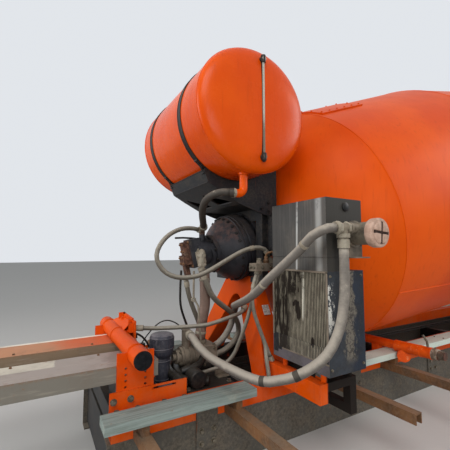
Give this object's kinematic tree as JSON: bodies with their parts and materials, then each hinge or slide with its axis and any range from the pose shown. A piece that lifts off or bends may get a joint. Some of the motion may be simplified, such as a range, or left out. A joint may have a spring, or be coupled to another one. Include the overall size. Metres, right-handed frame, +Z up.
{
  "type": "concrete mixer body",
  "caption": "Inclined concrete mixer drum on a steel carrier frame with water tank, drive, oil cooler, hopper and discharge chutes.",
  "frame": {"origin": "midway between the four hold-down holes, on the carrier rails' underside", "axes": "+X to the front of the vehicle, +Y to its left, +Z up; the drum's axis lies in the XZ plane and rises to the rear"},
  "size_m": [9.3108, 2.3996, 3.23],
  "materials": {
    "orange": "gloss paint with dust",
    "dark": "satin dark grey paint",
    "black": "satin black paint",
    "tank_steel": "brushed, stained",
    "dirty_fins": "caked with dust",
    "chassis": "faded paint under dust",
    "beige": "pale primer under dust",
    "board": "pale grey-green, chalky",
    "rusty": "brown rust",
    "cast": "black painted casting",
    "fitting": "zinc plate, dusty",
    "hose": "grey with cement dust",
    "hose_black": "black rubber",
    "cap": "faded red plastic",
    "steel_worn": "worn running surface",
    "blade": "worn by concrete",
    "fan": "black plastic"
  },
  "bodies": {
    "frame": {"carrier_rails": "chassis", "crossmembers": "dark", "subframe_rails": "orange", "neck_beams": "beige", "cross_tube": "orange", "tube_brackets": "orange", "front_pedestal": "orange", "gearbox": "cast", "hydraulic_motor": "fitting", "hydraulic_pump": "fitting", "filter_canister": "black", "tank_cradle": "dark", "water_tank": "orange", "tank_straps": "black", "sight_tube": "hose_black", "tank_outlet": "orange", "cooler_outrigger": "orange", "oil_tank": "tank_steel", "cooler_core": "dirty_fins", "cooler_shroud": "dark", "return_filter": "cap", "valve_manifold": "rusty", "hose_fittings": "fitting", "return_hose": "hose", "suction_hose": "hose", "loop_hose": "hose", "motor_hose": "hose", "tank_hose": "hose", "riser_hose": "hose", "vent_hose": "hose", "drain_hose_a": "hose", "drain_hose_b": "hose", "water_hose": "hose_black", "side_boards": "board", "board_brackets": "rusty", "wash_pipe": "orange", "rear_pedestal": "orange", "charge_hopper": "orange", "rear_posts": "orange", "discharge_funnel": "orange", "chute_console": "dark", "access_ladder": "orange"},
    "drum": {"drum_shell": "orange", "drum_blades": "blade", "drum_ring": "steel_worn", "drum_hatch": "orange"},
    "left_roller": {"left_roller": "steel_worn"},
    "right_roller": {"right_roller": "steel_worn"},
    "fan": {"cooler_fan": "fan"},
    "swivel": {"chute_swivel": "orange"},
    "chute": {"main_chute": "orange"},
    "extension": {"extension_chute": "orange"}
  },
  "joints": [
    {"name": "drum_spin", "type": "hinge", "parent": "frame", "child": "drum", "pos_m": [1.912, 0, 1.334], "axis": [-0.9724, 0, 0.2334], "continuous": true},
    {"name": "left_roller_spin", "type": "hinge", "parent": "frame", "child": "left_roller", "pos_m": [-2.4663, 0.5276, 1.5168], "axis": [-0.9724, 0, 0.2334], "continuous": true},
    {"name": "right_roller_spin", "type": "hinge", "parent": "frame", "child": "right_roller", "pos_m": [-2.4663, -0.5276, 1.5168], "axis": [-0.9724, 0, 0.2334], "continuous": true},
    {"name": "fan_spin", "type": "hinge", "parent": "frame", "child": "fan", "pos_m": [1.93, 0.7925, 0.9605], "axis": [1, 0, 0], "continuous": true},
    {"name": "chute_swing", "type": "hinge", "parent": "frame", "child": "swivel", "pos_m": [-3.48, 0, 1], "axis": [0, 0, 1], "range_deg": [-90, 90]},
    {"name": "chute_tilt", "type": "hinge", "parent": "swivel", "child": "chute", "pos_m": [-3.48, 0, 1.26], "axis": [0, 1, 0], "range_deg": [-10, 15]},
    {"name": "extension_fold", "type": "hinge", "parent": "chute", "child": "extension", "pos_m": [-4.69947, 0, 0.9032], "axis": [0, 1, 0], "range_deg": [0, 170]}
  ],
  "couplings": [
    {"joint": "left_roller_spin", "follows": "drum_spin", "ratio": -6.9627},
    {"joint": "right_roller_spin", "follows": "drum_spin", "ratio": -6.9627}
  ]
}
